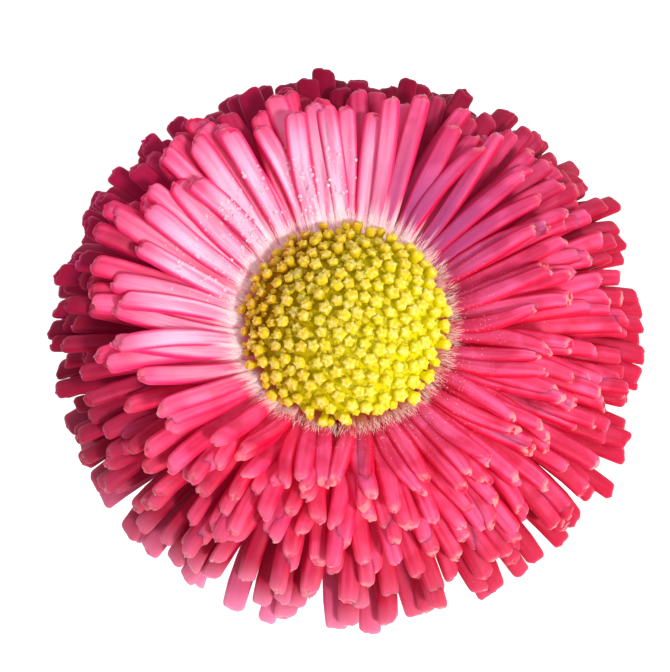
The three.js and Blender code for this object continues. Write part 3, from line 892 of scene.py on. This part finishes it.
def down(material):
    """Whitish down on the rays' feet: spikes from a ring round the disc, which lie along the feet."""
    i = np.arange(DOWN_HAIRS, dtype=float)
    azimuth = 2 * math.pi * draw(i, 35)
    r = DISC_RADIUS + 0.1 + 0.9 * draw(i, 36)
    out, side = compass(azimuth)
    slope = RAY_RISE_AT_BASE[0] + 4 + 40 * jitter(i, 49) - OPENING * turned_to(azimuth, OPEN_SIDE)
    slope = np.radians(slope)
    roots = combined((out, r), (UP, (r - RAY_BASE_RADIUS[0]) * np.tan(slope)))
    aim = heading(out, slope) + combined((side, 0.7 * jitter(i, 38)))
    length = 0.52 + 0.4 * jitter(i, 39)
    hairs("ray_down", on_head(roots), aim @ head_turn(), material, length, radius=0.012)


def dew(rays, azimuth, material):
    """Dew drops on the inner rays at upper left: flattened spheres on points of those rays' upper faces."""
    within_spread = lobe(azimuth, *DEW) > math.exp(-1)
    wet = np.nonzero(within_spread & (np.arange(RAYS) < DEW_RAYS))[0]
    n = np.arange(DEW_DROPS, dtype=float)
    ray = wet[(len(wet) * draw(n, 43) ** 2).astype(int)]
    station = 2.2 + 3.6 * draw(n, 44)
    corner = 1.2 + 3.6 * draw(n, 45)
    k, j = station.astype(int), corner.astype(int)
    f, g = (station - k)[:, None], (corner - j)[:, None]
    low = mix((rays[ray, k, j], rays[ray, k, j + 1]), g)
    high = mix((rays[ray, k + 1, j], rays[ray, k + 1, j + 1]), g)
    along = unit(high - low)
    inward = unit(np.cross(rays[ray, k, j] - rays[ray, k, j + 1], along))
    side = np.cross(along, inward)
    radius = (0.05 + 0.13 * draw(n, 46) ** 3)[PER_COPY]
    tilt = per_ring(np.linspace(-0.3 * math.pi, 0.48 * math.pi, 5))
    a = ring(8)
    wide = radius * np.cos(tilt)
    points = mix((low, high), f)[PER_COPY] + combined(
        (side[PER_COPY], wide * np.cos(a)), (along[PER_COPY], wide * np.sin(a)),
        (inward[PER_COPY], -radius * (0.8 * np.sin(tilt) + 0.3)),
    )
    add_tubes("dew_drops", points, {"crown": np.sin(tilt)}, material)


def curve_frames(points, steps):
    """Places, sides and faces along a smooth curve through points (a uniform Catmull-Rom spline)."""
    p = np.asarray(points, float)
    p = np.vstack([2 * p[0] - p[1], p, 2 * p[-1] - p[-2]])
    spans = len(p) - 3
    u = np.linspace(0, spans, steps)
    k = np.minimum(u.astype(int), spans - 1)
    t = (u - k)[:, None]
    a, b, c, d = p[k], p[k + 1], p[k + 2], p[k + 3]
    bend = (2 * a - 5 * b + 4 * c - d) * t ** 2 + (3 * b - a - 3 * c + d) * t ** 3
    place = b + 0.5 * ((c - a) * t + bend)
    tangent = unit(np.gradient(place, axis=0))
    side = unit(np.cross((0, 1, 0), tangent))
    return place, side, np.cross(tangent, side)


def stalk(name, node, curve, radius, material, swell, corners, flush):
    """A round stalk along a curve: place + R (cos a side + sin a face), with a faint ribbing of cos 7a.

    Its radius swells by a share at the top, and its red flush fades from the soil upwards.
    """
    place, side, face = (part[:, None] for part in curve)
    a = ring(corners)
    up_it = np.linspace(0, 1, len(place))[:, None]
    size = radius * (1 + swell * smooth(0.93, 1.0, up_it)) * (1 + 0.03 * np.cos(7 * a))
    points = place + combined((side, size * np.cos(a)), (face, size * np.sin(a)))
    add_tubes(name, points[None], {"flush": flush * (1 - up_it)}, material, [node])


def stalk_hairs(name, curve, radius, material, numbers, rings, scatter, length, hair_radius):
    """Hairs on a stalk between two of its rings: they stand out from it, lean upwards and scatter."""
    place, side, face = curve
    k = mix(rings, draw(numbers, 21)).astype(int)
    a = 2 * math.pi * draw(numbers, 22)
    normal = combined((side[k], np.cos(a)), (face[k], np.sin(a)))
    aside = np.stack([jitter(numbers, 23), jitter(numbers, 24), 0 * numbers], -1)
    directions = normal + 0.9 * UP + scatter * aside
    roots = place[k] + normal * radius * 0.98
    hairs(name, roots, directions, material, length, hair_radius)


def blades(place, side, face, half_width, thickness, fold, corners=9):
    """Thin closed blades: a top and a bottom row of corners, folded up from the midline by fold |x|^1.4.

    Also gives how far across (x) and how far up each corner lies, both from -1 to 1.
    """
    x = np.linspace(-1, 1, corners)
    edge = np.sqrt(np.clip(1 - np.abs(x) ** 6, 0, 1))
    across = np.concatenate([x, x[::-1]])
    upper = np.concatenate([-edge, edge[::-1]])
    lift = fold[:, None] * np.abs(across) ** 1.4 + 0.5 * thickness[:, None] * upper
    wide = half_width[:, None] * across
    points = place[..., None, :] + combined((side[..., None, :], wide), (face[..., None, :], lift))
    return points, across, upper


def bracts(material):
    """The bracts round the cup: pointed arcs with a half width of w sin(pi b^1.1)^0.6 at a share b along."""
    i = np.arange(BRACTS, dtype=float)[:, None]
    u = np.linspace(-0.35, 1, 26)
    rise0 = np.radians(4 + 8 * jitter(i, 11))
    rise1 = np.radians(-30 + 12 * jitter(i, 12))
    rise, further, higher = arc(rise0, rise1, BRACT_LENGTH, u * BRACT_LENGTH)
    out, side = compass(2 * math.pi * i / BRACTS)
    place = combined((out, 4.6 + further), (UP, -7.2 + higher - 0.8 * np.clip(-u, 0, 1)))
    half = 1.55 * np.sin(math.pi * np.clip(0.3 + 0.7 * u, 0, 0.985) ** 1.1) ** 0.6
    points = blades(place, side, facing(out, rise), half, thickness=0.5 + 0 * u, fold=-0.12 * half)[0]
    values = {"flush": 0.8 * np.clip(u, 0, 1)[:, None] ** 3}
    add_tubes("bracts", on_head(points), values, material)


def flower_stalk(material):
    """The scape along its bowed curve, the cup under the head, and the bracts round it."""
    foot = [(0, 0, SOIL_LEVEL - STEM_DEPTH), (0, 0, SOIL_LEVEL + 6), (1.6, -4.6, 110)]
    top = on_head(np.array([(0, 0, -24), (0, 0, -11.4)]))
    curve = curve_frames(np.vstack([foot, top]), SCAPE_RINGS)
    stalk("scape", "flower_stalk", curve, SCAPE_RADIUS, material, swell=0.12, corners=24, flush=0.5)
    numbers = np.arange(SCAPE_HAIRS, dtype=float)
    stalk_hairs(
        "scape_hairs", curve, SCAPE_RADIUS, material, numbers, rings=(20, SCAPE_RINGS - 1), scatter=0.3,
        length=0.7 + 0.4 * jitter(numbers, 25), hair_radius=0.035,
    )

    cup = [
        (0.05, -12), (SCAPE_RADIUS, -12), (1.5, -11), (2.1, -10), (3.3, -9.2), (4.5, -8.4), (5.3, -7.5),
        (5.7, -6.6), (5.7, -5.9), (4.4, -5.9), (3.7, -5.6), (3.7, -0.8), (0.05, -0.8),
    ]
    add_tubes("bract_cup", on_head(lathe(cup, corners=64)), {"flush": 0.0}, material)
    bracts(material)


def stem_foot(k):
    """Stem number k on the soil's golden-angle spiral: its azimuth, and its foot at z = 0."""
    azimuth = k * GOLDEN_ANGLE
    return azimuth, STEM_SPACING * math.sqrt(k) * compass(azimuth)[0]


def leaf(j, k, material):
    """Leaf number j at stem place k: a channelled petiole that widens into a spoon-shaped blade.

    The rise along it is tip + (root - tip) (1 - s)^2, its half width is w sin(pi b^1.4)^0.62 at a share b of
    the blade, and the margin is toothed and waves a little. Its foot runs straight down into the soil.
    """
    t = (j + 0.5 * (1 + jitter(j, 21))) / LEAVES
    length = mix(LEAF_LENGTH, t) * (1 + 0.1 * jitter(j, 22))
    azimuth, foot = stem_foot(k)
    out, level = compass(azimuth + math.radians(10 * jitter(j, 23)))
    s = np.append(0, np.linspace(0, 1, LEAF_STEPS + 1))
    rise = np.radians(mix((mix(LEAF_RISE_AT_TIP, t ** 0.8), LEAF_RISE_AT_ROOT), (1 - s) ** 2))
    moves = heading(out, rise) * length / LEAF_STEPS
    moves[0] = foot + (SOIL_LEVEL - STEM_DEPTH + 1) * UP
    moves[1] = (STEM_DEPTH - 1) * UP
    place = np.cumsum(moves, 0)

    blade = np.clip((s - BLADE_START) / (1 - BLADE_START), 0, 1)
    outline = np.sin(math.pi * np.minimum(0.988, blade) ** 1.4) ** 0.62
    teeth = 1 - 0.07 * smooth(0.25, 0.5, blade) * (1 - np.abs(np.sin(LEAF_TEETH * math.pi * blade + j)))
    half = np.maximum(PETIOLE_HALF_WIDTH, mix(LEAF_HALF_WIDTH, t) * outline * teeth)
    half *= np.where(s > 0.985, 0.72, 1)
    thick = mix((PETIOLE_THICKNESS, LEAF_THICKNESS), np.minimum(1, 2 * s))
    twist = math.radians(16 * jitter(j, 24)) * blade
    face = facing(out, rise)
    side = combined((level, np.cos(twist)), (face, np.sin(twist)))
    fold = LEAF_FOLD * (half - PETIOLE_HALF_WIDTH) + 0.25 * np.sin(9 * s + 3 * j) * blade
    points, across, upper = blades(place, side, face, half, thick, fold, LEAF_CORNERS)
    ripple = 0.22 * blade[:, None] * across ** 2 * np.sin(26 * s[:, None] + 4 * np.sign(across) + j)
    points += combined((face[:, None], ripple))
    values = {"along": s[:, None], "across": across, "upper": upper, "tone": jitter(j, 26)}
    name = f"leaf_{j + 1:02d}"
    add_tubes(f"{name}_blade", points[None], values, material, [name])
    return points


def leaf_hairs(sheets, material):
    """Short white hairs along the leaves' margins and petioles."""
    roots, directions = [], []
    for number, points in enumerate(sheets):
        i = np.arange(LEAF_HAIRS, dtype=float) + 100 * number
        k = 4 + (84 * draw(i, 27)).astype(int)
        rim = points[k, np.where(draw(i, 28) > 0.5, 0, LEAF_CORNERS - 1)]
        roots.append(rim)
        directions.append(unit(rim - points[k, LEAF_CORNERS // 2]) + 0.5 * UP + 0.4 * jitter(i, 29)[:, None])
    i = np.arange(LEAF_HAIRS * len(sheets), dtype=float)
    length = 0.55 + 0.3 * jitter(i, 30)
    hairs("leaf_hairs", np.vstack(roots), np.vstack(directions), material, length, radius=0.03)


def bud_tuft(name, top, material):
    """The tuft of closed rays in a bud's cup: each is an arc that leans inwards and bulges by sin(pi u)."""
    i = np.arange(BUD_RAYS, dtype=float)[PER_COPY]
    t = i / (BUD_RAYS - 1)
    u = per_ring(np.linspace(0, 1, 12))
    rise0 = np.radians(88 + 2 * jitter(i, 31))
    rise1 = np.radians(mix((100, 112), t) + 10 * jitter(i, 32))
    length = 5.3 + 0.5 * jitter(i, 33) - 0.6 * t
    rise, further, higher = arc(rise0, rise1, length, u * length)
    r = mix((0.25, 1.25), np.sqrt(t)) + 0.35 * np.sin(math.pi * u) + further
    out, side = compass(i * GOLDEN_ANGLE)
    place = top + combined((out, r), (UP, 2.3 + higher))
    share = np.interp(u, [0, 0.5, 0.85, 0.95, 1], [0.7, 1.0, 0.9, 0.65, 0.2])
    angle = ring(10)
    points = section(place, side, facing(out, rise), 0.42 * share, 0.26 * share, angle)
    values = {
        "along": 0.3 + 0.7 * u, "across": np.cos(angle), "upper": -np.sin(angle), "rank": 0.6,
        "tone": jitter(i, 34), "lip": 0.0, "blush": 0.8, "satin": 0.0, "frost": 0.0,
    }
    add_tubes(f"{name}_tuft", points, values, material, [f"{name}_rays"])


def bud(number, k, green, pink):
    """A bud: a leaning stalk, a cup of closed bracts with pointed tips, and a tuft of closed rays in it."""
    azimuth, foot = stem_foot(k)
    out = compass(azimuth)[0]
    name = f"bud_{number + 1}"
    height = BUD_HEIGHTS[number]
    leans = (0, 0.2, 0.7 * BUD_LEAN, BUD_LEAN)
    heights = (SOIL_LEVEL - STEM_DEPTH, SOIL_LEVEL + 4, height - 16, height)
    way = [foot + lean * out + z * UP for lean, z in zip(leans, heights)]
    curve = curve_frames(way, BUD_STALK_RINGS)
    stalk(f"{name}_stem", f"{name}_stalk", curve, BUD_STALK_RADIUS, green, swell=0, corners=18, flush=0.6)
    numbers = np.arange(BUD_HAIRS, dtype=float) + 1000 * number
    stalk_hairs(
        f"{name}_hairs", curve, BUD_STALK_RADIUS, green, numbers, rings=(12, BUD_STALK_RINGS - 2), scatter=0,
        length=0.6 + 0.3 * jitter(numbers, 25), hair_radius=0.03,
    )

    cup = [
        (0.1, -0.9, 0, 0), (0.9, -0.6, 0, 0), (1.9, 0.1, 0.04, 0), (2.7, 1.1, 0.07, 0), (3.05, 2.2, 0.08, 0),
        (3.1, 3.2, 0.08, 0.1), (3.0, 4.2, 0.06, 0.4), (2.85, 5.1, 0.04, 0.7), (2.6, 5.3, 0.02, 0.75),
        (2.3, 5.0, 0, 0.65), (2.0, 4.0, 0, 0.3), (1.9, 2.2, 0, 0), (0.1, 2.1, 0, 0),
    ]
    points = lathe(cup, corners=96, ribs=8) + way[-1]
    add_tubes(f"{name}_bracts", points, {"flush": 0.15}, green)
    bud_tuft(name, way[-1], pink)


def rounded(profile, radius, steps=4):
    """A closed profile with each corner replaced by a short curve that starts and ends at most radius off.

    The curve is (1 - t)^2 start + 2 t (1 - t) corner + t^2 end.
    """
    profile = np.asarray(profile, float)
    ends = []
    for neighbour in (np.roll(profile, 1, 0), np.roll(profile, -1, 0)):
        away = neighbour - profile
        reach = np.minimum(radius, 0.45 * np.linalg.norm(away, axis=1, keepdims=True))
        ends.append((profile + unit(away) * reach)[:, None])
    t = np.linspace(0, 1, steps + 1)[:, None]
    curves = (1 - t) ** 2 * ends[0] + 2 * t * (1 - t) * profile[:, None] + t ** 2 * ends[1]
    return curves.reshape(-1, 2)


def pot(material):
    """The clay pot: a tapered wall with a collar, soft edges, a floor and a drain hole."""
    collar_foot = POT_HEIGHT - POT_COLLAR_HEIGHT
    under_collar = POT_RIM_RADIUS - POT_COLLAR_STEP - 1.6
    profile = rounded([
        (POT_DRAIN_RADIUS, 0), (POT_FOOT_RADIUS, 0), (under_collar, collar_foot),
        (POT_RIM_RADIUS - 1, collar_foot + 0.4), (POT_RIM_RADIUS, POT_HEIGHT), (POT_INNER_TOP, POT_HEIGHT),
        (POT_INNER_FOOT, POT_FLOOR), (POT_DRAIN_RADIUS, POT_FLOOR),
    ], POT_EDGE_ROUNDING)
    points = lathe(profile, corners=160)
    add_tubes("clay_pot", points, {}, material, ["pot"], ring_shaped=True)


def soil_height(r):
    """The soil's height at radius r, a low crown: level + crown (1 - (r / R)^2)."""
    return SOIL_LEVEL + SOIL_CROWN * (1 - (r / POT_INNER_TOP) ** 2)


def clods(name, material, count, size, channel):
    """Small lumps spread evenly over the soil, half sunk: spheres with each corner pushed in or out."""
    rings, corners = 5, 6
    i = np.arange(count, dtype=float)[PER_COPY]
    r = (POT_INNER_TOP - 2.6) * np.sqrt(draw(i, channel))
    azimuth = 2 * math.pi * draw(i, channel + 1)
    radius = size * (0.55 + 0.9 * draw(i, channel + 2) ** 2)
    number = i * 31 + per_ring(range(rings)) * corners + np.arange(corners)
    lump = radius * (1 + 0.55 * jitter(number, channel + 3))
    tilt = per_ring(np.linspace(-0.45 * math.pi, 0.45 * math.pi, rings))
    a = ring(corners) + 7 * azimuth
    x = lump * np.cos(tilt) * np.cos(a) + r * np.cos(azimuth)
    y = lump * np.cos(tilt) * np.sin(a) + r * np.sin(azimuth)
    z = lump * np.sin(tilt) + soil_height(r) + 0.15 * radius
    add_tubes(name, np.stack([x, y, z], -1), {"tone": jitter(i, channel + 4)}, material)


def soil(material, white):
    """The soil's body with a lumpy crown, and loose crumbs and a little perlite on it."""
    taper = (POT_INNER_TOP - POT_INNER_FOOT) / (POT_HEIGHT - POT_EDGE - POT_FLOOR)
    edge = POT_INNER_FOOT + taper * (SOIL_LEVEL - POT_FLOOR) - SOIL_GAP
    underside = [(0.05, POT_FLOOR + 0.3), (POT_INNER_FOOT - 0.6, POT_FLOOR + 0.3)]
    crown = [(r, soil_height(r)) for r in np.linspace(edge, 0.05, 60)]
    points = lathe(underside + crown, corners=150)
    on_top = points[:, len(underside):]
    x, y = on_top[..., 0], on_top[..., 1]
    on_top[..., 2] += 0.35 * np.sin(1.7 * x + 0.6 * y) * np.sin(1.3 * y - 0.7 * x + 1)
    on_top[..., 2] += 0.25 * np.sin(3.1 * x) * np.sin(2.7 * y)
    add_tubes("soil_bed", points, {"tone": 0.0}, material, ["soil"])
    clods("soil_crumbs", material, count=1500, size=0.85, channel=41)
    clods("soil_grit", material, count=1400, size=0.42, channel=61)
    clods("perlite_crumbs", white, count=55, size=0.75, channel=81)


def stage():
    """A white floor that glows a little, so that only soft contact shadows show on it."""
    bpy.ops.mesh.primitive_plane_add(size=6, location=(0, 0, -0.0002))
    floor = bpy.context.object
    floor.name = "floor"
    material, add = new_material("white_floor")
    add("OutputMaterial", [add("BsdfPrincipled", {
        "Base Color": (0.3, 0.3, 0.3, 1), "Roughness": 0.9,
        "Emission Color": (1, 1, 1, 1), "Emission Strength": 0.86,
    })])
    floor.data.materials.append(material)


def light():
    """Low sun from the picture's lower right, and an even white sky."""
    sun = bpy.data.lights.new("sun", "SUN")
    sun.energy = 3.0
    sun.angle = math.radians(10)
    sun.color = (1.0, 0.965, 0.9)
    lamp = bpy.data.objects.new("sun", sun)
    lamp.rotation_euler = aimed(SUN_TOWARDS, SUN_RISE).to_track_quat("Z", "Y").to_euler()
    bpy.context.scene.collection.objects.link(lamp)
    world = bpy.data.worlds.new("sky")
    world.use_nodes = True
    sky = world.node_tree.nodes["Background"]
    sky.inputs["Color"].default_value = (0.88, 0.93, 1.0, 1)
    sky.inputs["Strength"].default_value = 0.65
    bpy.context.scene.world = world
    bpy.context.scene.view_settings.view_transform = "Standard"


def camera():
    """Straight down on the bloom, the picture's top along +Y."""
    lens = bpy.data.cameras.new("camera")
    lens.lens = CAMERA_LENS
    lens.sensor_width = 36
    lens.clip_start = 0.005
    lens.clip_end = 20
    eye = bpy.data.objects.new("camera", lens)
    eye.location = [v * MM for v in CAMERA_PLACE]
    bpy.context.scene.collection.objects.link(eye)
    bpy.context.scene.camera = eye


petal = ray_petal()
yellow = disc_yellow()
green = green_stalk()
leafy = leaf_green()
ray_points, ray_azimuth = ray_florets(petal)
dew(ray_points, ray_azimuth, dew_water())
disc_florets(yellow)
disc_dome(yellow)
down(white_down())
flower_stalk(green)

sheets = []
for place_number in range(1, LEAVES + len(BUD_PLACES) + 1):
    if place_number in BUD_PLACES:
        bud(BUD_PLACES.index(place_number), place_number, green, petal)
    else:
        sheets.append(leaf(len(sheets), place_number, leafy))
leaf_hairs(sheets, leafy)

pot(terracotta())
soil(potting_soil(), perlite())
stage()
light()
camera()
